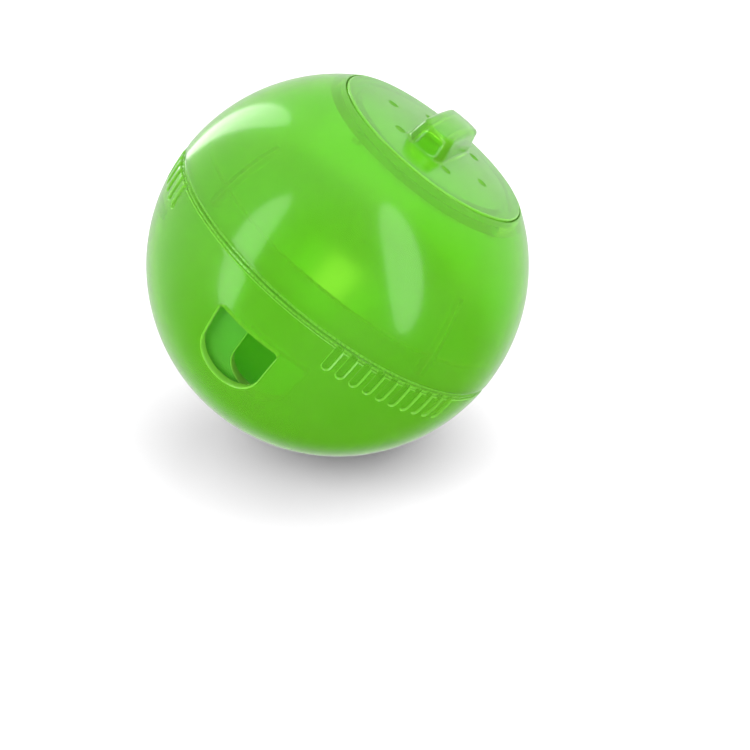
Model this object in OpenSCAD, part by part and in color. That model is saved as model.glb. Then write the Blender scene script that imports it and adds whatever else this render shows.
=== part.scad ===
// Treat dispensing ball. A lower and an upper shell meet at a groove round the middle,
// and a cup turns inside them, so that its ports line up with those of the lower shell.
// A lid with a grip bar closes the filling hole in the flattened top.
// The origin is the centre of the ball. +Z goes out through the lid, and -Y out through
// the middle of one of the lower shell's ports.

/* [Ball] */
// Outside diameter of the closed ball
ball_d = 76; // [68:1:96]
// Wall of the lower and the upper shell
shell_wall = 1.8; // [1.5:0.1:2.4]
// Gap between pieces that move past each other
gap = 0.3; // [0.2:0.05:0.4]

/* [Groove round the middle] */
// Height of the groove that the two rims leave
seam_h = 1.5; // [1:0.1:2]
// Depth of the groove
seam_depth = 0.7; // [0.4:0.1:0.9]

/* [Ports] */
// Width of a port along its flat upper edge
port_w = 14.6; // [11:0.2:16]
// Radius of a port's round lower end
port_end_r = 6.9; // [4.5:0.1:7.2]
// Height of a port in the lower shell
port_h = 14.6; // [11:0.2:15.6]
// How much smaller the cup's ports are, in width and in height
port_less = 1.2; // [0:0.1:2]
// How far below the middle of the ball the ports look out, in degrees
port_low = 26.3; // [25:0.1:30]
// How far the cup is turned from fully open, in degrees
turn_now = 11; // [0:0.5:28]
// How far the cup turns from fully open to shut, in degrees
turn_shut = 28; // [28:0.5:34]

/* [Grip bands] */
// Number of bands of grip grooves on the lower shell
bands = 3; // [1:1:3]
// Grooves in one band
band_grooves = 10; // [4:1:12]
// Angle from one groove to the next
groove_step = 5.05; // [4.6:0.05:6]
// Angle from the port to the middle of the first band
band_turn = 47; // [40:1:60]
// Width of a groove
groove_w = 1.7; // [1:0.1:2.2]
// Depth of a groove
groove_depth = 0.5; // [0.3:0.05:0.7]
// How far a band reaches down from the edge of the middle groove
band_h = 5.1; // [2.5:0.1:5.6]

/* [Cup] */
// Wall of the cup
cup_wall = 1.8; // [1.2:0.1:2.2]
// How far the cup's rim stands above the centre of the ball
cup_rim = 6; // [4:0.2:9]
// Length of each lug that limits the cup's turn
lug_l = 9; // [5:0.5:12]
// Height of a lug
lug_h = 1.2; // [0.8:0.1:1.6]
// How far a lug stands out of the cup
lug_out = 0.9; // [0.6:0.05:1]
// How far the lugs lie below the centre of the ball
lug_drop = 9; // [8:0.2:11]

/* [Ribs of the upper shell] */
// Number of ribs that key the upper shell to the cup
ribs = 4; // [2:1:6]
// Thickness of a rib
rib_t = 1.2; // [0.8:0.1:2]
// How far a rib stands in from the shell's wall
rib_deep = 1.8; // [1:0.1:2.5]
// Height of a rib's lower end above the centre of the ball
rib_low = 2; // [1:0.2:3]
// Height of a rib's upper end above the centre of the ball
rib_high = 17; // [10:1:20]
// Angle from the cup's port to the first rib
rib_turn = 41.4; // [34:0.2:50]

/* [Filling hole] */
// Diameter of the hole in the upper shell
hole_d = 43; // [38:0.5:46]
// Thickness of the seat ring inside the hole
seat_t = 1.4; // [1:0.1:2]

/* [Lid] */
// Wall of the lid
lid_wall = 1.7; // [1.2:0.1:2]
// How far the lid's edge stands proud of the edge of the hole
lid_proud = 0.2; // [0:0.1:0.8]
// Rise of the crown from its edge to its middle
lid_crown = 1.3; // [0.8:0.1:2.4]
// Chamfer round the lid's edge
lid_chamfer = 0.4; // [0.2:0.1:0.8]
// How far the skirt under the lid lies in from the lid's edge
skirt_in = 1.9; // [1.7:0.1:2.6]
// Wall of the skirt
skirt_wall = 1.5; // [1.2:0.1:2]
// Length round the skirt of each lug that locks the lid
hook_l = 12; // [8:0.5:14]
// Thickness of a locking lug
hook_t = 1.4; // [1:0.1:2]
// How far a locking lug stands out of the skirt
hook_out = 1.7; // [1.2:0.1:1.9]
// How far the lid turns to lock, in degrees
lock_turn = 40; // [36:1:50]
// How far the lid is turned from the cup's port, in degrees
lid_now = -11; // [-30:0.5:30]

/* [Grip bar] */
// Length of the bar
bar_l = 23; // [16:0.5:28]
// Width of the bar
bar_w = 8.6; // [7.6:0.2:11]
// Radius of the bar's corners as seen from above
bar_corner = 3.6; // [1:0.1:4]
// How much narrower the bar is at its crest, on each side
bar_draft = 0.6; // [0.2:0.1:1]
// Radius of the arch along the bar's crest
bar_arch = 58; // [44:1:80]

/* [Dimples] */
// Number of dimples round the bar
dimples = 6; // [4:2:8]
// Radius of the circle that they lie on
dimple_ring = 11.8; // [11:0.1:14]
// Diameter of a dimple
dimple_d = 2.5; // [1.6:0.1:3]
// Depth of a dimple
dimple_deep = 0.5; // [0.3:0.05:0.8]

/* [Hidden] */
$fn = 96;
lime = [0.46, 0.84, 0.13];
deep_lime = [0.33, 0.72, 0.1];
quarter = 90;
half = 180;
full = 360;
over = 1;

ball_r = ball_d / 2;
wall_r = ball_r - shell_wall;
cup_r = wall_r - gap;
cup_in_r = cup_r - cup_wall;
far = ball_d + over;

// The middle groove
seam_r = ball_r - seam_depth;
seam_bottom = -seam_h / 2;

// Grip bands
band_low = seam_bottom - band_h;

// Lugs of the cup, from inside its wall outwards
lug_root_r = sqrt(pow(cup_r - cup_wall / 2, 2) - pow(lug_drop, 2));
lug_r = sqrt(pow(cup_r, 2) - pow(lug_drop, 2)) + lug_out;

// Filling hole and lid, from the edge of the hole inwards
hole_r = hole_d / 2;
hole_z = sqrt(pow(ball_r, 2) - pow(hole_r, 2));
lid_r = hole_r - gap;
edge_z = hole_z + lid_proud;
lid_top = edge_z + lid_crown;
crown_arch = (pow(lid_r, 2) + pow(lid_crown, 2)) / (2 * lid_crown);
lid_under = edge_z - lid_wall;
skirt_r = lid_r - skirt_in;
skirt_in_r = skirt_r - skirt_wall;
seat_top = lid_under - gap;
seat_under = seat_top - seat_t;
seat_r = skirt_r + gap;
hook_r = skirt_r + hook_out;
hook_top = seat_under - gap;
hook_low = hook_top - hook_t;
stop_w = hook_t;

function turn_of(length, radius) = length / (2 * PI * radius) * full;

// Everything above the plane z = low
module above(low) {
    translate([-far, -far, low]) cube([2 * far, 2 * far, far]);
}

// Everything below the plane z = high
module below(high) {
    translate([-far, -far, high - 2 * far]) cube([2 * far, 2 * far, 2 * far]);
}

// Part of a ring, from radius r1 to r2 and height z1 to z2, turn degrees long about +X
module arc_block(r1, r2, z1, z2, turn) {
    rotate([0, 0, -turn / 2])
        rotate_extrude(angle = turn)
            translate([r1, z1]) square([r2 - r1, z2 - z1]);
}

// Outline of a port, flat above and round below, smaller all round by inset
module port_outline(inset) {
    end_r = port_end_r - inset;
    end_y = port_end_r - port_h / 2;
    top_x = port_w / 2 - inset;
    top_y = port_h / 2 - inset;
    polygon([[-end_r, end_y], [end_r, end_y], [top_x, top_y], [-top_x, top_y]]);
    translate([0, end_y]) circle(r = end_r);
}

// Two ports, opposite each other
module port_cuts(inset) {
    for (side = [0 : 1])
        rotate([0, 0, side * half])
            rotate([quarter + port_low, 0, 0])
                linear_extrude(far) port_outline(inset);
}

module grip_grooves() {
    middle = (band_grooves - 1) / 2;
    difference() {
        for (band = [0 : bands - 1], i = [0 : band_grooves - 1])
            rotate([0, 0, band_turn + band * full / bands + (i - middle) * groove_step])
                rotate([quarter, 0, 0])
                    linear_extrude(far) {
                        translate([-groove_w / 2, band_low + groove_w / 2])
                            square([groove_w, seam_bottom + over - band_low - groove_w / 2]);
                        translate([0, band_low + groove_w / 2]) circle(d = groove_w);
                    }
        sphere(ball_r - groove_depth);
    }
}

// The step that each rim leaves for the groove round the middle
module seam_cut() {
    difference() {
        translate([0, 0, seam_bottom]) cylinder(h = seam_h, r = ball_r + over);
        translate([0, 0, seam_bottom - over]) cylinder(h = seam_h + 2 * over, r = seam_r);
    }
}

// Slots in which the cup's lugs run from fully open to shut
module lug_slots() {
    slack = turn_of(gap, cup_r);
    span = turn_shut + turn_of(lug_l, cup_r) + 2 * slack;
    for (side = [0 : 1])
        rotate([0, 0, side * half + turn_shut / 2])
            arc_block(lug_root_r, lug_r + gap, -lug_drop - lug_h / 2 - gap,
                -lug_drop + lug_h / 2 + gap, span);
}

module lower_shell() {
    color(lime)
        difference() {
            sphere(ball_r);
            sphere(wall_r);
            above(-gap / 2);
            seam_cut();
            port_cuts(0);
            grip_grooves();
            lug_slots();
        }
}

module key_ribs() {
    for (i = [0 : ribs - 1])
        rotate([0, 0, turn_now + rib_turn - quarter + i * full / ribs])
            intersection() {
                translate([0, -rib_t / 2, rib_low]) cube([ball_r, rib_t, rib_high - rib_low]);
                difference() {
                    sphere(wall_r + shell_wall / 2);
                    sphere(wall_r - rib_deep);
                }
            }
}

// Seat ring in the filling hole, with a notch and a stop for each locking lug
module seat() {
    hook_turn = turn_of(hook_l, hook_r);
    slack = turn_of(2 * gap, hook_r);
    stop_turn = turn_of(stop_w, hook_r);
    difference() {
        intersection() {
            translate([0, 0, seat_under]) cylinder(h = seat_t, r = ball_r);
            sphere(wall_r + shell_wall / 2);
        }
        translate([0, 0, seat_under - over]) cylinder(h = seat_t + 2 * over, r = seat_r);
        for (side = [0 : 1])
            rotate([0, 0, turn_now + lid_now + side * half])
                arc_block(skirt_in_r, hook_r + gap, seat_under - over, seat_top + over,
                    hook_turn + 2 * slack);
    }
    for (side = [0 : 1])
        rotate([0, 0, turn_now + lid_now + side * half + lock_turn + hook_turn / 2 + slack + stop_turn])
            arc_block(seat_r, hook_r, hook_low, seat_under + seat_t / 2, stop_turn);
}

module upper_shell() {
    color(lime) {
        difference() {
            sphere(ball_r);
            sphere(wall_r);
            below(gap / 2);
            seam_cut();
            cylinder(h = far, r = hole_r);
        }
        seat();
        key_ribs();
    }
}

module rib_notches() {
    for (i = [0 : ribs - 1])
        rotate([0, 0, rib_turn - quarter + i * full / ribs])
            translate([0, -rib_t / 2 - gap, rib_low - gap])
                cube([ball_r, rib_t + 2 * gap, cup_rim]);
}

module cup() {
    color(deep_lime)
        rotate([0, 0, turn_now]) {
            difference() {
                sphere(cup_r);
                sphere(cup_in_r);
                above(cup_rim);
                port_cuts(port_less / 2);
                rib_notches();
            }
            for (side = [0 : 1])
                rotate([0, 0, side * half])
                    arc_block(lug_root_r, lug_r, -lug_drop - lug_h / 2, -lug_drop + lug_h / 2,
                        turn_of(lug_l, cup_r));
        }
}

// Outline of the bar from above, smaller all round by inset
module bar_outline(inset) {
    long = bar_l - 2 * inset;
    wide = bar_w - 2 * inset;
    corner = min(max(bar_corner - inset, gap), (wide - gap) / 2);
    square([wide - 2 * corner, long], center = true);
    square([wide, long - 2 * corner], center = true);
    for (x = [-1, 1], y = [-1, 1])
        translate([x * (wide / 2 - corner), y * (long / 2 - corner)])
            circle(r = corner);
}

// Wedge along Y whose sides lean in by the draft from the crown up to the crest
module bar_wedge(wide, long) {
    rotate([quarter, 0, 0])
        linear_extrude(2 * long, center = true)
            polygon([
                [-wide / 2 - bar_draft, lid_top - (ball_r - lid_top)],
                [wide / 2 + bar_draft, lid_top - (ball_r - lid_top)],
                [wide / 2 - bar_draft, ball_r],
                [-wide / 2 + bar_draft, ball_r]
            ]);
}

// The bar, whose arched crest comes level with the ball's own surface in the middle
module bar() {
    intersection() {
        translate([0, 0, lid_under]) linear_extrude(ball_r) bar_outline(0);
        translate([0, 0, ball_r - bar_arch]) sphere(bar_arch);
        bar_wedge(bar_w, bar_l);
        rotate([0, 0, quarter]) bar_wedge(bar_l, bar_l);
    }
}

// The hollow inside the bar
module bar_core() {
    intersection() {
        translate([0, 0, lid_under - over]) linear_extrude(ball_r) bar_outline(lid_wall);
        translate([0, 0, ball_r - bar_arch]) sphere(bar_arch - lid_wall);
    }
}

module dimple_cuts() {
    for (i = [0 : dimples - 1])
        rotate([0, 0, (i + 1 / 2) * full / dimples - quarter])
            translate([dimple_ring, 0, lid_top - pow(dimple_ring, 2) / (2 * crown_arch) - dimple_deep])
                cylinder(h = over + dimple_deep, d = dimple_d);
}

module crown(thinner) {
    translate([0, 0, lid_top - crown_arch]) sphere(crown_arch - thinner);
}

module lid_body() {
    intersection() {
        rotate_extrude()
            polygon([
                [0, hook_low], [skirt_r, hook_low], [skirt_r, lid_under], [lid_r, lid_under],
                [lid_r, edge_z - lid_chamfer], [lid_r - lid_chamfer, edge_z],
                [lid_r - lid_chamfer, ball_r], [0, ball_r]
            ]);
        crown(0);
    }
    bar();
}

module lid() {
    color(lime)
        rotate([0, 0, turn_now + lid_now]) {
            difference() {
                lid_body();
                intersection() {
                    translate([0, 0, hook_low - over]) cylinder(h = far, r = skirt_in_r);
                    crown(lid_wall);
                }
                bar_core();
                dimple_cuts();
            }
            for (side = [0 : 1])
                rotate([0, 0, side * half])
                    arc_block(skirt_r - skirt_wall / 2, hook_r, hook_low, hook_top, turn_of(hook_l, hook_r));
        }
}

lower_shell();
upper_shell();
cup();
lid();
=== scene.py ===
import math

import bpy
from mathutils import Matrix, Vector


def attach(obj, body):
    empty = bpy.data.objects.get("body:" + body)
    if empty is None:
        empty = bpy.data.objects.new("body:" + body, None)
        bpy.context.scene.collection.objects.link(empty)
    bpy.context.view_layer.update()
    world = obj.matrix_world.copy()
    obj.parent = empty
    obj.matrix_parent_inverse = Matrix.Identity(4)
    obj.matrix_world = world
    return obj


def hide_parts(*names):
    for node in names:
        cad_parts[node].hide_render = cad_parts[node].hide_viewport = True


mm = 0.001
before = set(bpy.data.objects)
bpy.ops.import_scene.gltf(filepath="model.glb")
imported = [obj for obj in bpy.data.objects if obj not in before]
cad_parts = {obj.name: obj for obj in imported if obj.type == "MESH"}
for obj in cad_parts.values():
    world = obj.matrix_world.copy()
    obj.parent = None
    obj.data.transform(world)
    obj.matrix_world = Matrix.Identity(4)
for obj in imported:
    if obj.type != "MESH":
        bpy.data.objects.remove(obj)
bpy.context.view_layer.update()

# Sizes that the pieces share, in millimetres, as in the construction model
ball = {
    "radius": 38.0,
    "wall": 1.8,
    "grooveHeight": 1.5,  # the groove round the middle, where the two halves meet
    "grooveDepth": 0.7,
    "rimGap": 0.1,
    "beadMargin": 0.1,  # the fine click beads on both rims in the groove
    "beadHeight": 0.25,
    "lipBevel": 0.3,
    "rimBevel": 0.12,
    "edgeMargin": 0.2,
    "holeRadius": 21.5,
    "cupTurn": 11.0,  # how far the cup stands from where its ports are in line with the shell's, in degrees
    "ribs": 4,
    "ribTurn": 52.4,
    "spinSteps": 216,
}
ball["inner"] = ball["radius"] - ball["wall"]
ribTurns = [ball["ribTurn"] + 360 / ball["ribs"] * i for i in range(ball["ribs"])]
overrun = 1.0  # how far a cutter reaches past what it cuts
mergeReach = 0.004  # points nearer to each other than this become one
sliver = 0.001  # what is thinner than this is left over from a cut
smoothAngle = 32  # an edge stays sharp where its faces turn by more than this, in degrees

# The camera's own axes in the ball's frame, and its place from the ball's centre
cameraRight = Vector((0.7375, 0.2971, 0.6060))
cameraUp = Vector((-0.6663, 0.1808, 0.7230))
cameraBack = cameraRight.cross(cameraUp).normalized()
cameraPlace = {"right": 7.315, "up": -21.88, "back": 649.6}
cameraView = {"lens": 156.9, "sensor": 36, "near": 0.01, "far": 50}


def fromCamera(right, up, back):
    return cameraRight * right + cameraUp * up + cameraBack * back


def deselect():
    if bpy.context.object and bpy.context.object.mode != "OBJECT":
        bpy.ops.object.mode_set(mode="OBJECT")
    bpy.ops.object.select_all(action="DESELECT")


def makeActive(piece):
    deselect()
    piece.select_set(True)
    bpy.context.view_layer.objects.active = piece


def cleanMesh(piece):
    makeActive(piece)
    bpy.ops.object.mode_set(mode="EDIT")
    bpy.ops.mesh.select_all(action="SELECT")
    bpy.ops.mesh.remove_doubles(threshold=mergeReach * mm)
    bpy.ops.mesh.delete_loose(use_verts=True, use_edges=True, use_faces=False)
    bpy.ops.mesh.select_all(action="SELECT")
    bpy.ops.mesh.normals_make_consistent(inside=False)
    bpy.ops.object.mode_set(mode="OBJECT")


def boxOutline(inner, outer, low, high):
    return [(inner, low), (outer, low), (outer, high), (inner, high)]


def spinOutline(name, outline, steps, turn=math.tau, middle=0.0):
    deselect()
    bpy.ops.mesh.primitive_circle_add(vertices=len(outline), radius=mm)
    piece = bpy.context.object
    piece.name = piece.data.name = name
    # spin turns clockwise seen from above, so a part turn starts at its far end
    start = middle + turn / 2 if turn < math.tau else 0.0
    for vertex, (reach, height) in zip(piece.data.vertices, outline):
        vertex.co = Vector((reach * math.cos(start), reach * math.sin(start), height)) * mm
    bpy.ops.object.mode_set(mode="EDIT")
    bpy.ops.mesh.select_all(action="SELECT")
    if turn < math.tau:
        bpy.ops.mesh.edge_face_add()
    bpy.ops.mesh.spin(steps=steps, angle=turn, center=(0, 0, 0), axis=(0, 0, 1))
    bpy.ops.object.mode_set(mode="OBJECT")
    cleanMesh(piece)
    return piece


# A grid whose rows are laid on rings of points, closed round and at both ends
def wrapRings(name, rings):
    deselect()
    around = len(rings[0])
    bpy.ops.mesh.primitive_grid_add(x_subdivisions=around, y_subdivisions=len(rings) - 1, size=mm)
    piece = bpy.context.object
    piece.name = piece.data.name = name
    for index, vertex in enumerate(piece.data.vertices):
        row, column = divmod(index, around + 1)
        vertex.co = rings[row][column % around] * mm
    cleanMesh(piece)
    return piece


def closeEnds(rings):
    first = sum(rings[0], Vector()) / len(rings[0])
    final = sum(rings[-1], Vector()) / len(rings[-1])
    return [[first] * len(rings[0])] + rings + [[final] * len(rings[-1])]


def combine(piece, tool, operation):
    makeActive(piece)
    cut = piece.modifiers.new(operation.lower(), "BOOLEAN")
    cut.operation = operation
    cut.solver = "EXACT"
    cut.object = tool
    bpy.ops.object.modifier_apply(modifier=cut.name)
    bpy.data.objects.remove(tool)


def bevelRings(piece, rings, width):
    makeActive(piece)
    near = 0.02 * mm
    mesh = piece.data

    def onRing(point, reach, height):
        return abs(math.hypot(point.x, point.y) - reach * mm) < near and abs(point.z - height * mm) < near

    for face in mesh.polygons:
        face.select = False
    for vertex in mesh.vertices:
        vertex.select = False
    for edge in mesh.edges:
        ends = [mesh.vertices[i].co for i in edge.vertices]
        edge.select = any(all(onRing(point, *ring) for point in ends) for ring in rings)
    bpy.ops.object.mode_set(mode="EDIT")
    bpy.ops.mesh.select_mode(type="EDGE")
    bpy.ops.object.mode_set(mode="OBJECT")
    bpy.ops.object.mode_set(mode="EDIT")
    bpy.ops.mesh.bevel(offset=width * mm, segments=3, profile=0.5, affect="EDGES")
    bpy.ops.mesh.select_mode(type="VERT")
    bpy.ops.object.mode_set(mode="OBJECT")


# Each face of a rim becomes one bead, with the paler edge colour on its top as a painted highlight
def beadRing(piece, radius, low, high):
    makeActive(piece)
    mesh = piece.data
    near = 0.08 * mm
    upright = 0.2
    for part in (mesh.vertices, mesh.edges, mesh.polygons):
        for item in part:
            item.select = False
    for face in mesh.polygons:
        onRim = abs(math.hypot(face.center.x, face.center.y) - radius * mm) < near
        face.select = abs(face.normal.z) < upright and onRim and low * mm < face.center.z < high * mm
    bpy.ops.object.mode_set(mode="EDIT")
    bpy.ops.mesh.select_mode(type="FACE")
    bpy.ops.mesh.inset(thickness=ball["beadMargin"] * mm, depth=ball["beadHeight"] * mm, use_individual=True)
    piece.active_material_index = 1
    bpy.ops.object.material_slot_assign()
    bpy.ops.mesh.select_mode(type="VERT")
    bpy.ops.object.mode_set(mode="OBJECT")


# Faces that run across the wall, between its two skins, get the second material, the painted edge highlight
def markEdges(piece, inner, outer, margin):
    facing = 0.86
    outerMargin = 0.01
    for face in piece.data.polygons:
        reach = face.center.length / mm
        alongWall = abs(face.normal.dot(face.center.normalized()))
        if inner + margin < reach < outer - outerMargin and alongWall < facing:
            face.material_index = 1


# The cuts leave slivers without area, which are taken out before the shading is set
def finishMesh(piece):
    makeActive(piece)
    bpy.ops.object.mode_set(mode="EDIT")
    bpy.ops.mesh.select_all(action="SELECT")
    bpy.ops.mesh.remove_doubles(threshold=sliver * mm)
    bpy.ops.mesh.dissolve_degenerate(threshold=sliver * mm)
    bpy.ops.mesh.delete_loose(use_verts=True, use_edges=True, use_faces=False)
    bpy.ops.object.mode_set(mode="OBJECT")
    bpy.ops.object.shade_smooth_by_angle(angle=math.radians(smoothAngle))


# Points on a circle round the ball's centre, between two latitudes in degrees
def arc(radius, low, high, count):
    steps = [low + (high - low) * i / count for i in range(count + 1)]
    return [(radius * math.cos(math.radians(a)), radius * math.sin(math.radians(a))) for a in steps]


def latitude(radius, height):
    return math.degrees(math.asin(height / radius))


# Materials
def toLinear(text):
    channels = [int(text[i : i + 2], 16) / 255 for i in (0, 2, 4)]
    return [c / 12.92 if c <= 0.04045 else ((c + 0.055) / 1.055) ** 2.4 for c in channels] + [1.0]


def addNode(material, kind, settings=(), sockets=(), links=()):
    node = material.node_tree.nodes.new(kind)
    for key, value in dict(settings).items():
        setattr(node, key, value)
    for key, value in dict(sockets).items():
        node.inputs[key].default_value = value
    for key, source in dict(links).items():
        material.node_tree.links.new(source, node.inputs[key])
    return node


# Clear lime plastic, injection moulded: a gloss skin over a slightly milky body, so that walls behind
# show through it softly, and the colour is a little uneven from wall to wall
plastic = {
    "cloudSize": 14.0,  # millimetres, as wide as a flow front of the moulding
    "flowSize": 5.0,
    "flowHeight": 0.03,
    "roughLow": 0.17,
    "roughHigh": 0.26,
    "ior": 1.3,  # under the plastic's own 1.5, which mirrors more at the edges than the photograph shows
    "coat": 0.4,
    "coatRoughness": 0.1,
    "cast": "BCBCBC",  # what bounced light meets instead of lime, so that the floor isn't tinted much
}


def limePlastic(name, look):
    material = bpy.data.materials.new(name)
    material.use_nodes = True
    tree = material.node_tree
    shader = tree.nodes["Principled BSDF"]
    place = addNode(material, "ShaderNodeTexCoord").outputs["Object"]
    clouds = addNode(
        material,
        "ShaderNodeTexNoise",
        sockets={"Scale": 1 / (plastic["cloudSize"] * mm), "Detail": 2.0, "Roughness": 0.5},
        links={"Vector": place},
    )
    body = addNode(
        material,
        "ShaderNodeMix",
        {"data_type": "RGBA"},
        {"A": toLinear(look["colour"]), "B": toLinear(look["paler"])},
        {"Factor": clouds.outputs["Fac"]},
    )
    ray = addNode(material, "ShaderNodeLightPath")
    cast = addNode(
        material,
        "ShaderNodeMix",
        {"data_type": "RGBA"},
        {"B": toLinear(plastic["cast"])},
        {"A": body.outputs["Result"], "Factor": ray.outputs["Diffuse Depth"]},
    )
    tree.links.new(cast.outputs["Result"], shader.inputs["Base Color"])
    rough = addNode(
        material,
        "ShaderNodeMapRange",
        sockets={
            "From Min": 0.3,
            "From Max": 0.7,
            "To Min": plastic["roughLow"],
            "To Max": plastic["roughHigh"],
        },
        links={"Value": clouds.outputs["Fac"]},
    )
    tree.links.new(rough.outputs["Result"], shader.inputs["Roughness"])
    flow = addNode(
        material,
        "ShaderNodeTexNoise",
        sockets={"Scale": 1 / (plastic["flowSize"] * mm), "Detail": 1.0},
        links={"Vector": place},
    )
    bump = addNode(
        material,
        "ShaderNodeBump",
        sockets={"Strength": 1.0, "Distance": plastic["flowHeight"] * mm},
        links={"Height": flow.outputs["Fac"]},
    )
    tree.links.new(bump.outputs["Normal"], shader.inputs["Normal"])
    shader.inputs["Transmission Weight"].default_value = 1 - look["veil"]
    shader.inputs["IOR"].default_value = plastic["ior"]
    shader.inputs["Coat Weight"].default_value = plastic["coat"]
    shader.inputs["Coat Roughness"].default_value = plastic["coatRoughness"]
    return material


def addMaterials(piece, *materials):
    piece.data.materials.clear()
    for material in materials:
        piece.data.materials.append(material)


# Cut and moulded edges of the same plastic, in a paler colour: this is painted glow for the light
# that runs inside the walls and comes out there, and painted highlight along the edges
edgeHighlightLook = {"colour": "8CEE44", "paler": "9AF452", "veil": 0.45}
paintedHighlightEdges = limePlastic("lime plastic, painted highlight and glow on edges", edgeHighlightLook)


# The ports, shared by the lower shell and the cup
port = {
    "topWidth": 14.6,
    "endRadius": 6.9,
    "height": 14.6,
    "corner": 0.8,
    "lookDown": 26.3,
    "cupLess": 0.6,  # how much smaller the cup's ports are
    "lipBend": 75.0,
    "lipSteps": 6,
    "flare": 1.2,
    "reach": 3,
    "roundSteps": 32,
    "cornerSteps": 8,
    "sideSteps": 8,
    "topSteps": 12,
}


def portOutline(grow):
    endRadius = port["endRadius"] + grow
    endY = port["endRadius"] - port["height"] / 2
    cornerX = port["topWidth"] / 2 - port["corner"]
    cornerY = port["height"] / 2 - port["corner"]
    corner = port["corner"] + grow
    widening = cornerX + corner - endRadius
    points = []
    for i in range(port["roundSteps"] + 1):
        a = math.pi + math.pi * i / port["roundSteps"]
        points.append((endRadius * math.cos(a), endY + endRadius * math.sin(a)))
    for i in range(1, port["sideSteps"]):
        share = i / port["sideSteps"]
        points.append((endRadius + widening * share, endY + (cornerY - endY) * share))
    for i in range(port["cornerSteps"] + 1):
        a = math.pi / 2 * i / port["cornerSteps"]
        points.append((cornerX + corner * math.cos(a), cornerY + corner * math.sin(a)))
    for i in range(1, port["topSteps"]):
        points.append((cornerX - 2 * cornerX * i / port["topSteps"], cornerY + corner))
    for i in range(port["cornerSteps"] + 1):
        a = math.pi / 2 + math.pi / 2 * i / port["cornerSteps"]
        points.append((-cornerX + corner * math.cos(a), cornerY + corner * math.sin(a)))
    for i in range(1, port["sideSteps"]):
        share = 1 - i / port["sideSteps"]
        points.append((-endRadius - widening * share, endY + (cornerY - endY) * share))
    return points


# The cutter flares at both skins of the wall, so that the port's lips come out rounded
def portCutter(outer, inner, lip, less, turn):
    low = math.radians(port["lookDown"])
    out = Vector((0, -math.cos(low), -math.sin(low)))
    up = Vector((0, -math.sin(low), math.cos(low)))
    edge = math.radians(port["lipBend"])

    def ring(grow, surface, lift):
        placed = []
        for x, y in portOutline(grow - less):
            along = math.sqrt(surface**2 - x * x - y * y) + lift
            placed.append(turn @ (Vector((x, 0, 0)) + up * y + out * along))
        return placed

    bend = [edge * i / port["lipSteps"] for i in range(port["lipSteps"] + 1)]
    inward = [(lip * (1 - math.cos(a)), lip * (math.sin(edge) - math.sin(a))) for a in reversed(bend)]
    outward = [(lip * (1 - math.cos(a)), -lip * (math.sin(edge) - math.sin(a))) for a in bend]
    flareX, flareY = math.sin(edge) * port["flare"], math.cos(edge) * port["flare"]
    last = lip * (1 - math.cos(edge))
    rings = [ring(last + flareX, inner, -flareY - port["reach"]), ring(last + flareX, inner, -flareY)]
    rings += [ring(grow, inner, lift) for grow, lift in inward]
    rings += [ring(grow, outer, lift) for grow, lift in outward]
    rings += [ring(last + flareX, outer, flareY), ring(last + flareX, outer, flareY + port["reach"])]
    return wrapRings("port cutter", closeEnds(rings))


def cutPorts(piece, outer, inner, lip, less, turnDegrees):
    for side in range(2):
        turn = Matrix.Rotation(math.radians(turnDegrees + 180 * side), 3, "Z")
        combine(piece, portCutter(outer, inner, lip, less, turn), "DIFFERENCE")


# Lower shell
lower = {
    "bands": 3,
    "bandTurn": 47.0,
    "grooves": 10,
    "step": 5.05,
    "grooveWidth": 1.7,
    "grooveDepth": 0.5,
    # a groove's section: heights above its floor, then above the skin, and how much each side widens there
    "grooveFoot": ((0.0, -0.2), (0.06, -0.06), (0.18, 0.0)),
    "grooveLip": ((-0.22, 0.01), (0.05, 0.3), (overrun, 0.3)),
    "bandTop": -0.1,
    "bandLow": -5.85,
    "lip": 0.55,
    "slotLow": 9.0,
    "slotHeight": 1.8,
    "slotTurn": 43.5,
    "slotMiddle": 14.0,
    "slotRoot": 33.6,
    "slotReach": 35.95,
    "arcSteps": 60,
    "slotSteps": 48,
    "look": {"colour": "84EA2A", "paler": "94F13C", "veil": 0.25},
}


def gripCutter(turn):
    half = lower["grooveWidth"] / 2
    foot, top = lower["bandLow"] + half, lower["bandTop"]
    roundSteps, sideSteps = 14, 9
    roundTurns = [math.pi + math.pi * i / roundSteps for i in range(roundSteps + 1)]
    heights = [foot + (top - foot) * i / sideSteps for i in range(1, sideSteps + 1)]

    def ring(reach, grow):
        wide = max(half + grow, 0.0)
        outline = [(wide * math.cos(a), foot + wide * math.sin(a)) for a in roundTurns]
        outline += [(wide, height) for height in heights]
        outline += [(0, top)]
        outline += [(-wide, height) for height in reversed(heights)]
        return [turn @ Vector((x, -math.sqrt(reach**2 - x * x - z * z), z)) for x, z in outline]

    # from the flat floor round its edge, up the wall, out along the lip's chamfer and past the skin
    skin = ball["radius"]
    bottom = skin - lower["grooveDepth"]
    levels = [(bottom, -half)] + [(bottom + height, grow) for height, grow in lower["grooveFoot"]]
    levels += [(skin + height, grow) for height, grow in lower["grooveLip"]] + [(skin + overrun, -half)]
    return wrapRings("groove cutter", [ring(reach, grow) for reach, grow in levels])


def gripCutters():
    cutters = []
    middle = (lower["grooves"] - 1) / 2
    for band in range(lower["bands"]):
        bandTurn = lower["bandTurn"] + band * 360 / lower["bands"]
        for i in range(lower["grooves"]):
            degrees = bandTurn + (i - middle) * lower["step"]
            cutters.append(gripCutter(Matrix.Rotation(math.radians(degrees), 3, "Z")))
    deselect()
    for cutter in cutters:
        cutter.select_set(True)
    bpy.context.view_layer.objects.active = cutters[0]
    bpy.ops.object.join()
    return cutters[0]


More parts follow.
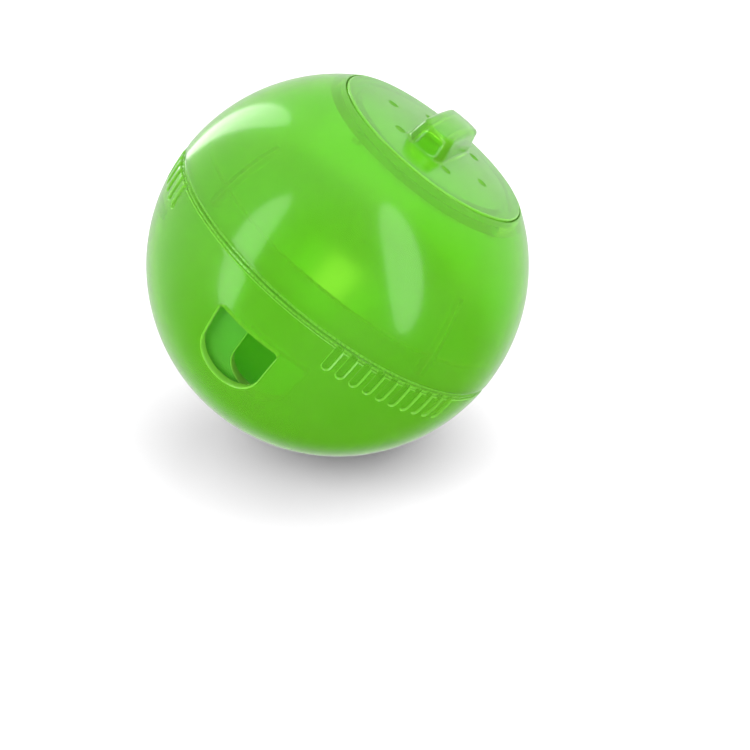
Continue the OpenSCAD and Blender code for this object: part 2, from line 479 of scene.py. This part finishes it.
def makeLowerShell():
    rim, lip = -ball["rimGap"] / 2, -ball["grooveHeight"] / 2
    outer, inner = ball["radius"], ball["inner"]
    seat = outer - ball["grooveDepth"]
    outline = arc(outer, -90, latitude(outer, lip), lower["arcSteps"])
    outline += [(seat, lip), (seat, rim)]
    outline += arc(inner, latitude(inner, rim), -90, lower["arcSteps"])
    piece = spinOutline("lowerShellBody", outline, ball["spinSteps"])
    addMaterials(piece, limePlastic("lime shell plastic, lower", lower["look"]), paintedHighlightEdges)
    bevelRings(piece, [(math.sqrt(outer**2 - lip**2), lip)], ball["lipBevel"])
    bevelRings(piece, [(seat, rim)], ball["rimBevel"])
    beadRing(piece, seat, lip, rim)
    cutPorts(piece, outer, inner, lower["lip"], 0.0, 0.0)
    combine(piece, gripCutters(), "DIFFERENCE")
    half = lower["slotHeight"] / 2
    slotLow, slotHigh = -lower["slotLow"] - half, -lower["slotLow"] + half
    box = boxOutline(lower["slotRoot"], lower["slotReach"], slotLow, slotHigh)
    for side in range(2):
        middle = math.radians(lower["slotMiddle"] + 180 * side)
        turn = math.radians(lower["slotTurn"])
        slot = spinOutline("slot cutter", box, lower["slotSteps"], turn, middle)
        combine(piece, slot, "DIFFERENCE")
    markEdges(piece, inner, outer, ball["edgeMargin"])
    finishMesh(piece)
    print("lower shell", len(piece.data.polygons))
    return piece


# Cup
cup = {
    "outer": 35.9,
    "inner": 34.1,
    "rim": 6.0,
    "rimBevel": 0.35,
    "lip": 0.4,
    "notchWidth": 1.8,
    "notchLow": 1.7,
    "notchMiddle": 35,
    "notchReach": 4,  # how far the notch's cutter goes to both sides of that, and above the rim
    "edgeMargin": 0.15,
    "lugLow": 9.0,
    "lugHeight": 1.2,
    "lugTurn": 14.36,
    "lugRoot": 33.82,
    "lugReach": 35.65,
    "arcSteps": 64,
    "lugSteps": 16,
    "look": {"colour": "78E244", "paler": "86EC52", "veil": 0.25},
}


# A notch in the cup's rim for one rib of the upper shell
def ribNotch(turnDegrees):
    deselect()
    bpy.ops.mesh.primitive_cube_add(size=mm)
    notch = bpy.context.object
    turn = Matrix.Rotation(math.radians(turnDegrees), 3, "Z")
    for vertex in notch.data.vertices:
        x, y, z = (2 * c / mm for c in vertex.co)
        height = cup["notchLow"] if z < 0 else cup["rim"] + cup["notchReach"]
        place = Vector((x * cup["notchWidth"] / 2, y * cup["notchReach"] - cup["notchMiddle"], height))
        vertex.co = (turn @ place) * mm
    cleanMesh(notch)
    return notch


def makeCup():
    outer, inner, rim = cup["outer"], cup["inner"], cup["rim"]
    outline = arc(outer, -90, latitude(outer, rim), cup["arcSteps"])
    outline += arc(inner, latitude(inner, rim), -90, cup["arcSteps"])
    piece = spinOutline("cupBody", outline, ball["spinSteps"])
    outerRim, innerRim = math.sqrt(outer**2 - rim**2), math.sqrt(inner**2 - rim**2)
    bevelRings(piece, [(outerRim, rim), (innerRim, rim)], cup["rimBevel"])
    cutPorts(piece, outer, inner, cup["lip"], port["cupLess"], ball["cupTurn"])
    for degrees in ribTurns:
        combine(piece, ribNotch(degrees), "DIFFERENCE")
    half = cup["lugHeight"] / 2
    lugLow, lugHigh = -cup["lugLow"] - half, -cup["lugLow"] + half
    box = boxOutline(cup["lugRoot"], cup["lugReach"], lugLow, lugHigh)
    for side in range(2):
        middle = math.radians(ball["cupTurn"] + 180 * side)
        lug = spinOutline("lug", box, cup["lugSteps"], math.radians(cup["lugTurn"]), middle)
        combine(piece, lug, "UNION")
    addMaterials(piece, limePlastic("lime cup plastic", cup["look"]), paintedHighlightEdges)
    markEdges(piece, inner, outer, cup["edgeMargin"])
    finishMesh(piece)
    print("cup", len(piece.data.polygons))
    return piece


# Upper shell
upper = {
    "ribThickness": 1.2,
    "ribInner": 34.4,
    "ribOuter": 37.0,
    "ribLow": 2.0,
    "ribHigh": 17.0,
    "ribCorner": 0.3,
    "ribSteps": 28,
    "cornerSteps": 4,
    "seatTop": 29.53,
    "seatUnder": 28.13,
    "seatRadius": 19.6,
    "notchReach": 21.3,
    "notchTurn": 36.0,
    "notchOver": 0.02,
    "stopLow": 26.43,
    "stopReach": 21.0,
    "stopTurn": 3.82,
    "stopMiddle": 61.83,
    "stopRoot": 0.7,
    "outerSteps": 44,
    "innerSteps": 40,
    "notchSteps": 36,
    "stopSteps": 6,
    "look": {"colour": "84EA2A", "paler": "94F13C", "veil": 0.25},
}


def makeRib(turnDegrees):
    low = math.asin(upper["ribLow"] / upper["ribInner"])
    high = math.asin(upper["ribHigh"] / upper["ribInner"])
    half = upper["ribThickness"] / 2
    corner, cornerSteps = upper["ribCorner"], upper["cornerSteps"]
    section = []
    for cx, cy, start in ((1, 1, 0), (-1, 1, 90), (-1, -1, 180), (1, -1, 270)):
        for i in range(cornerSteps + 1):
            a = math.radians(start + 90 * i / cornerSteps)
            section.append((cx * (half - corner) + corner * math.cos(a), cy, corner * math.sin(a)))
    turn = Matrix.Rotation(math.radians(turnDegrees), 3, "Z")
    middle = (upper["ribInner"] + upper["ribOuter"]) / 2
    reach = (upper["ribOuter"] - upper["ribInner"]) / 2
    rings = []
    for i in range(upper["ribSteps"] + 1):
        rise = low + (high - low) * i / upper["ribSteps"]
        outward = Vector((0, -math.cos(rise), math.sin(rise)))
        ring = []
        for x, cy, dy in section:
            ring.append(turn @ (Vector((x, 0, 0)) + outward * (middle + cy * (reach - corner) + dy)))
        rings.append(ring)
    return wrapRings("rib", closeEnds(rings))


def makeUpperShell():
    rim, lip = ball["rimGap"] / 2, ball["grooveHeight"] / 2
    outer, inner, hole = ball["radius"], ball["inner"], ball["holeRadius"]
    seat = outer - ball["grooveDepth"]
    edge = math.sqrt(outer**2 - hole**2)
    outline = arc(outer, latitude(outer, lip), latitude(outer, edge), upper["outerSteps"])
    outline += [(hole, upper["seatTop"]), (upper["seatRadius"], upper["seatTop"])]
    outline += [(upper["seatRadius"], upper["seatUnder"])]
    underside = latitude(inner, upper["seatUnder"])
    outline += arc(inner, underside, latitude(inner, rim), upper["innerSteps"])
    outline += [(seat, rim), (seat, lip)]
    piece = spinOutline("upperShellBody", outline, ball["spinSteps"])
    addMaterials(piece, limePlastic("lime shell plastic, upper", upper["look"]), paintedHighlightEdges)
    bevelRings(piece, [(math.sqrt(outer**2 - lip**2), lip), (hole, edge)], ball["lipBevel"])
    bevelRings(piece, [(upper["seatRadius"], upper["seatTop"]), (seat, rim)], ball["rimBevel"])
    beadRing(piece, seat, rim, lip)
    for degrees in ribTurns:
        combine(piece, makeRib(degrees), "UNION")
    seatIn, under, top = upper["seatRadius"], upper["seatUnder"], upper["seatTop"]
    notch = boxOutline(seatIn - overrun, upper["notchReach"], under - overrun, top + upper["notchOver"])
    stop = boxOutline(seatIn, upper["stopReach"], upper["stopLow"], under + upper["stopRoot"])
    notchTurn, stopTurn = math.radians(upper["notchTurn"]), math.radians(upper["stopTurn"])
    for side in range(2):
        cutter = spinOutline("hook notch", notch, upper["notchSteps"], notchTurn, math.pi * side)
        combine(piece, cutter, "DIFFERENCE")
        middle = math.radians(upper["stopMiddle"]) + math.pi * side
        combine(piece, spinOutline("lock stop", stop, upper["stopSteps"], stopTurn, middle), "UNION")
    markEdges(piece, inner, outer, ball["edgeMargin"])
    finishMesh(piece)
    print("upper shell", len(piece.data.polygons))
    return piece


# Lid
lid = {
    "radius": 21.2,
    "edgeHeight": 31.53,
    "top": 32.83,
    "under": 29.83,
    "wall": 1.7,
    "rimBend": 0.35,  # the round of the lid's outer edge
    "softEdge": 0.2,
    "edgeMargin": 0.3,
    "skirtOuter": 19.3,
    "skirtInner": 17.8,
    "skirtLow": 26.43,
    "hookRoot": 0.7,
    "hookReach": 21.0,
    "hookHigh": 27.83,
    "hookTurn": 32.7,
    "barLength": 23.0,
    "barWidth": 8.6,
    "barCorner": 3.6,
    "barLeastCorner": 0.4,
    "barDraft": 0.6,
    "barArch": 58.0,
    "barEdge": 1.3,
    "barFillet": 1.0,
    "hollowLess": 0.2,  # the bar's wall is this much thicker than the lid's
    "hollowFoot": 0.7,
    "hollowEdge": 1.4,
    "dimples": 6,
    "dimpleRing": 11.8,
    "dimpleWidth": 2.5,
    "dimpleDepth": 0.5,
    "around": 192,
    "topShares": (0, 0.12, 0.25, 0.4, 0.55, 0.7, 0.82, 0.92, 1.0),
    "hollowShares": (1, 0.75, 0.5, 0.25, 0),
    "barEdgeSteps": 6,
    "barWallSteps": 4,
    "barFootSteps": 5,
    "crownSteps": 14,
    "lidEdgeSteps": 5,
    "ceilingSteps": 10,
    "hollowFootSteps": 4,
    "hollowEdgeSteps": 5,
    "hookSteps": 24,
    "look": {"colour": "84EA2A", "paler": "94F13C", "veil": 0.25},
}
crownRise = lid["top"] - lid["edgeHeight"]
lid["arch"] = (lid["radius"] ** 2 + crownRise**2) / (2 * crownRise)


# How far out the edge of a round-cornered box lies at an angle, found by halving
def reachOf(angle, halfX, halfY, corner):
    c, s = abs(math.cos(angle)), abs(math.sin(angle))
    low, high = 0.0, halfX + halfY
    halvings = 40
    for _ in range(halvings):
        mid = (low + high) / 2
        qx, qy = c * mid - (halfX - corner), s * mid - (halfY - corner)
        away = math.hypot(max(qx, 0), max(qy, 0)) + min(max(qx, qy), 0) - corner
        low, high = (mid, high) if away < 0 else (low, mid)
    return low


def crownHeight(reach, thinner=0.0):
    centre = lid["top"] - lid["arch"]
    return centre + math.sqrt((lid["arch"] - thinner) ** 2 - reach**2)


def crestHeight(x, y, thinner=0.0):
    centre = ball["radius"] - lid["barArch"]
    return centre + math.sqrt((lid["barArch"] - thinner) ** 2 - x * x - y * y)


def makeLidBody():
    angles = [math.tau * i / lid["around"] for i in range(lid["around"])]
    halfX, halfY = lid["barWidth"] / 2, lid["barLength"] / 2
    corner, draft, edge, fillet = lid["barCorner"], lid["barDraft"], lid["barEdge"], lid["barFillet"]
    wall, under, soft, rimBend = lid["wall"], lid["under"], lid["softEdge"], lid["rimBend"]
    skirtIn, skirtOut, low = lid["skirtInner"], lid["skirtOuter"], lid["skirtLow"]
    flat = lid["radius"] - rimBend
    quarter = math.pi / 2
    rings = []

    def addRing(point, *values):
        rings.append([point(a, *values) for a in angles])

    def at(a, reach, height):
        return Vector((reach * math.cos(a), reach * math.sin(a), height))

    def boxReach(a, shrink):
        least = max(corner - shrink, lid["barLeastCorner"])
        return reachOf(a, halfX - shrink, halfY - shrink, least)

    # the bar's arched top, its round edge, its leaning wall and the fillet at its foot
    def barTop(a, share):
        reach = boxReach(a, draft + edge) * share
        x, y = reach * math.cos(a), reach * math.sin(a)
        return Vector((x, y, crestHeight(x, y)))

    def barEdge(a, bend):
        reach = boxReach(a, draft + edge * (1 - math.sin(bend)))
        return at(a, reach, barTop(a, 1).z - edge * (1 - math.cos(bend)))

    def barWall(a, share):
        high = barTop(a, 1).z - edge
        foot = crownHeight(boxReach(a, 0)) + fillet
        return at(a, boxReach(a, draft * (1 - share)), high + (foot - high) * share)

    def barFoot(a, bend):
        reach = boxReach(a, 0) + fillet * (1 - math.cos(bend))
        return at(a, reach, crownHeight(reach) + fillet * (1 - math.sin(bend)))

    for share in lid["topShares"]:
        addRing(barTop, share)
    for i in range(1, lid["barEdgeSteps"]):
        addRing(barEdge, quarter * i / lid["barEdgeSteps"])
    for i in range(lid["barWallSteps"] + 1):
        addRing(barWall, i / lid["barWallSteps"])
    for i in range(1, lid["barFootSteps"] + 1):
        addRing(barFoot, quarter * i / lid["barFootSteps"])

    # the crown out to the lid's round edge, then down and round the skirt
    def crown(a, share):
        start = boxReach(a, 0) + fillet
        reach = start + (flat - start) * share
        return at(a, reach, crownHeight(reach))

    def lidEdge(a, bend):
        return at(a, flat + rimBend * math.sin(bend), crownHeight(flat) - rimBend * (1 - math.cos(bend)))

    for i in range(1, lid["crownSteps"] + 1):
        addRing(crown, i / lid["crownSteps"])
    for i in range(1, lid["lidEdgeSteps"] + 1):
        addRing(lidEdge, quarter * i / lid["lidEdgeSteps"])
    addRing(at, lid["radius"], under + soft)
    addRing(at, lid["radius"] - soft, under)
    addRing(at, skirtOut, under)
    addRing(at, skirtOut, (under + low) / 2)
    addRing(at, skirtOut, low + soft)
    addRing(at, skirtOut - soft, low)
    addRing(at, skirtIn + soft, low)
    addRing(at, skirtIn, low + soft)
    addRing(at, skirtIn, crownHeight(skirtIn, wall))

    # the ceiling inside the skirt, and the hollow under the bar
    def ceiling(a, share):
        end = boxReach(a, wall) + lid["hollowFoot"]
        reach = skirtIn + (end - skirtIn) * share
        return at(a, reach, crownHeight(reach, wall))

    def hollowFoot(a, bend):
        reach = boxReach(a, wall) + lid["hollowFoot"] * (1 - math.sin(bend))
        return at(a, reach, crownHeight(reach, wall) + lid["hollowFoot"] * (1 - math.cos(bend)))

    def hollowTop(a, share, shrink, drop=0.0):
        reach = boxReach(a, wall + lid["hollowLess"] + shrink) * share
        x, y = reach * math.cos(a), reach * math.sin(a)
        return Vector((x, y, crestHeight(x, y, wall) - drop))

    def hollowEdge(a, bend):
        shrink, drop = lid["hollowEdge"] * (1 - math.sin(bend)), lid["hollowEdge"] * (1 - math.cos(bend))
        return hollowTop(a, 1, shrink, drop)

    for i in range(1, lid["ceilingSteps"] + 1):
        addRing(ceiling, i / lid["ceilingSteps"])
    for i in range(1, lid["hollowFootSteps"] + 1):
        addRing(hollowFoot, quarter * i / lid["hollowFootSteps"])
    for i in range(lid["hollowEdgeSteps"]):
        addRing(hollowEdge, quarter * (1 - i / lid["hollowEdgeSteps"]))
    for share in lid["hollowShares"]:
        addRing(hollowTop, share, lid["hollowEdge"])
    return wrapRings("lidBody", rings)


def makeLid():
    piece = makeLidBody()
    depth, width = lid["dimpleDepth"], lid["dimpleWidth"]
    bowl = ((width / 2) ** 2 + depth**2) / (2 * depth)
    for i in range(lid["dimples"]):
        a = math.radians(360 / lid["dimples"] * (i - 1))
        height = crownHeight(lid["dimpleRing"]) - depth + bowl
        place = Vector((lid["dimpleRing"] * math.cos(a), lid["dimpleRing"] * math.sin(a), height)) * mm
        deselect()
        bpy.ops.mesh.primitive_uv_sphere_add(segments=32, ring_count=20, radius=bowl * mm, location=place)
        combine(piece, bpy.context.object, "DIFFERENCE")
    root = lid["skirtOuter"] - lid["hookRoot"]
    box = boxOutline(root, lid["hookReach"], lid["skirtLow"], lid["hookHigh"])
    for side in range(2):
        turn = math.radians(lid["hookTurn"])
        hook = spinOutline("hook", box, lid["hookSteps"], turn, math.pi * side)
        combine(piece, hook, "UNION")
    addMaterials(piece, limePlastic("lime lid plastic", lid["look"]), paintedHighlightEdges)
    # the faces round the lid's outer edge get the second material, a painted highlight along its rim
    edgeStart = (lid["radius"] - lid["edgeMargin"]) * mm
    for face in piece.data.polygons:
        face.material_index = 1 if math.hypot(face.center.x, face.center.y) > edgeStart else 0
    finishMesh(piece)
    print("lid", len(piece.data.polygons))
    return piece


# Floor
paper = {
    "tilt": 30,  # how far the camera looks down on it, in degrees
    "size": 1.2,  # metres
    "gap": 0.05,
    "colour": "F6F6F6",
}


# White seamless paper, matt, which is clear from behind so that views from below see the ball
def seamlessPaper():
    material = bpy.data.materials.new("white seamless paper")
    material.use_nodes = True
    nodes, links = material.node_tree.nodes, material.node_tree.links
    matt = nodes["Principled BSDF"]
    matt.inputs["Base Color"].default_value = toLinear(paper["colour"])
    matt.inputs["Roughness"].default_value = 1.0
    matt.inputs["Specular IOR Level"].default_value = 0.0
    clear = addNode(material, "ShaderNodeBsdfTransparent")
    side = addNode(material, "ShaderNodeNewGeometry")
    mix = addNode(material, "ShaderNodeMixShader")
    links.new(side.outputs["Backfacing"], mix.inputs[0])
    links.new(matt.outputs[0], mix.inputs[1])
    links.new(clear.outputs[0], mix.inputs[2])
    links.new(mix.outputs[0], nodes["Material Output"].inputs[0])
    return material


def makeFloor():
    deselect()
    tilt = math.radians(paper["tilt"])
    normal = fromCamera(0, math.cos(tilt), math.sin(tilt))
    bpy.ops.mesh.primitive_grid_add(x_subdivisions=8, y_subdivisions=8, size=paper["size"])
    floor = bpy.context.object
    floor.name = "floor"
    floor.rotation_mode = "QUATERNION"
    floor.rotation_quaternion = normal.to_track_quat("Z", "Y")
    floor.location = -normal * (ball["radius"] + paper["gap"]) * mm
    floor.data.materials.append(seamlessPaper())
    # the walls neither mirror the floor nor show it through them, and it stops no light from below
    floor.visible_glossy = False
    floor.visible_shadow = False
    floor.visible_transmission = False


# Camera, world and lamps
def makeCamera():
    data = bpy.data.cameras.new("camera")
    camera = bpy.data.objects.new("camera", data)
    bpy.context.scene.collection.objects.link(camera)
    data.lens = cameraView["lens"]
    data.sensor_width = cameraView["sensor"]
    data.clip_start, data.clip_end = cameraView["near"], cameraView["far"]
    axes = Matrix((cameraRight, cameraUp, cameraBack)).transposed().to_4x4()
    axes.translation = fromCamera(cameraPlace["right"], cameraPlace["up"], cameraPlace["back"]) * mm
    camera.matrix_world = axes
    bpy.context.scene.camera = camera


# What the gloss mirrors fades from behind the ball to the front, and fill is what lights the rest
studio = {"front": 0.0, "behind": 0.8, "fadeFrom": -0.3, "fadeTo": 0.45, "fill": 0.8, "tilt": 60}

# Each lamp's direction and the way it is long, in the camera's axes, then its size in metres and its watts
lamps = {
    "back softbox": ((-0.41, 0.665, -0.515), (0.02, 0.74, 0.62), 0.26, 1.12, 2.05),
    "left softbox": ((-0.815, 0.138, 0.563), (0.425, 0.83, 0.365), 0.33, 1.5, 4.2),
    "right softbox": ((0.637, -0.05, 0.769), (-0.11, 0.977, 0.186), 0.4, 1.5, 5.2),
    "top softbox": ((0.5, 1.0, 0.15), (0, 0, 1), 1.6, 1.6, 9),
    "side softbox": ((-1.0, 0.05, 0.3), (0, 1, 0), 0.8, 1.2, 2.5),
}


def softbox(name, towards, along, width, length, power):
    data = bpy.data.lights.new(name, "AREA")
    data.shape = "ELLIPSE"
    data.size, data.size_y = width, length
    data.energy = power
    light = bpy.data.objects.new(name, data)
    bpy.context.scene.collection.objects.link(light)
    away = fromCamera(*towards).normalized()
    longWay = fromCamera(*along)
    longWay = (longWay - away * longWay.dot(away)).normalized()
    axes = Matrix((longWay.cross(away), longWay, away)).transposed().to_4x4()
    axes.translation = away
    light.matrix_world = axes
    return light


def makeWorld():
    world = bpy.data.worlds.new("studio")
    bpy.context.scene.world = world
    world.cycles.sampling_method = "NONE"  # each kind of ray finds its own light, which sampling would mix
    world.use_nodes = True
    nodes, links = world.node_tree.nodes, world.node_tree.links
    tilt = math.radians(studio["tilt"])
    ray = addNode(world, "ShaderNodeLightPath")
    direction = addNode(world, "ShaderNodeTexCoord")
    facing = addNode(
        world,
        "ShaderNodeVectorMath",
        {"operation": "DOT_PRODUCT"},
        {1: fromCamera(0, math.sin(tilt), -math.cos(tilt))},
        {0: direction.outputs["Generated"]},
    )
    fade = addNode(
        world,
        "ShaderNodeMapRange",
        {"interpolation_type": "SMOOTHSTEP"},
        {
            "From Min": studio["fadeFrom"],
            "From Max": studio["fadeTo"],
            "To Min": studio["front"],
            "To Max": studio["behind"],
        },
        {"Value": facing.outputs["Value"]},
    )
    mirrored = addNode(
        world,
        "ShaderNodeMix",
        {"data_type": "RGBA", "name": "mirrored"},
        {"A": (studio["fill"],) * 3 + (1,)},
        {"B": fade.outputs["Result"], "Factor": ray.outputs["Is Glossy Ray"]},
    )
    seen = addNode(
        world,
        "ShaderNodeMath",
        {"operation": "MAXIMUM"},
        links={0: ray.outputs["Is Camera Ray"], 1: ray.outputs["Is Transmission Ray"]},
    )
    white = addNode(
        world,
        "ShaderNodeMix",
        {"data_type": "RGBA"},
        {"B": (1, 1, 1, 1)},
        {"A": mirrored.outputs["Result"], "Factor": seen.outputs["Value"]},
    )
    links.new(white.outputs["Result"], nodes["Background"].inputs["Color"])


def makeLights():
    lights = {name: softbox(name, *values) for name, values in lamps.items()}
    lights["back softbox"].visible_transmission = False
    lights["top softbox"].visible_glossy = False
    lights["side softbox"].visible_glossy = False


bpy.context.scene.view_settings.view_transform = "Standard"

lowerShell = makeLowerShell()
cupPiece = makeCup()
upperShell = makeUpperShell()
lidPiece = makeLid()

rides = ((lowerShell, "lower_shell"), (cupPiece, "cup"), (upperShell, "upper_shell"), (lidPiece, "lid"))
for piece, node in rides:
    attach(piece, node)
    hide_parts(node)

makeFloor()
makeCamera()
makeLights()
makeWorld()
print("floor, camera, lights and world")
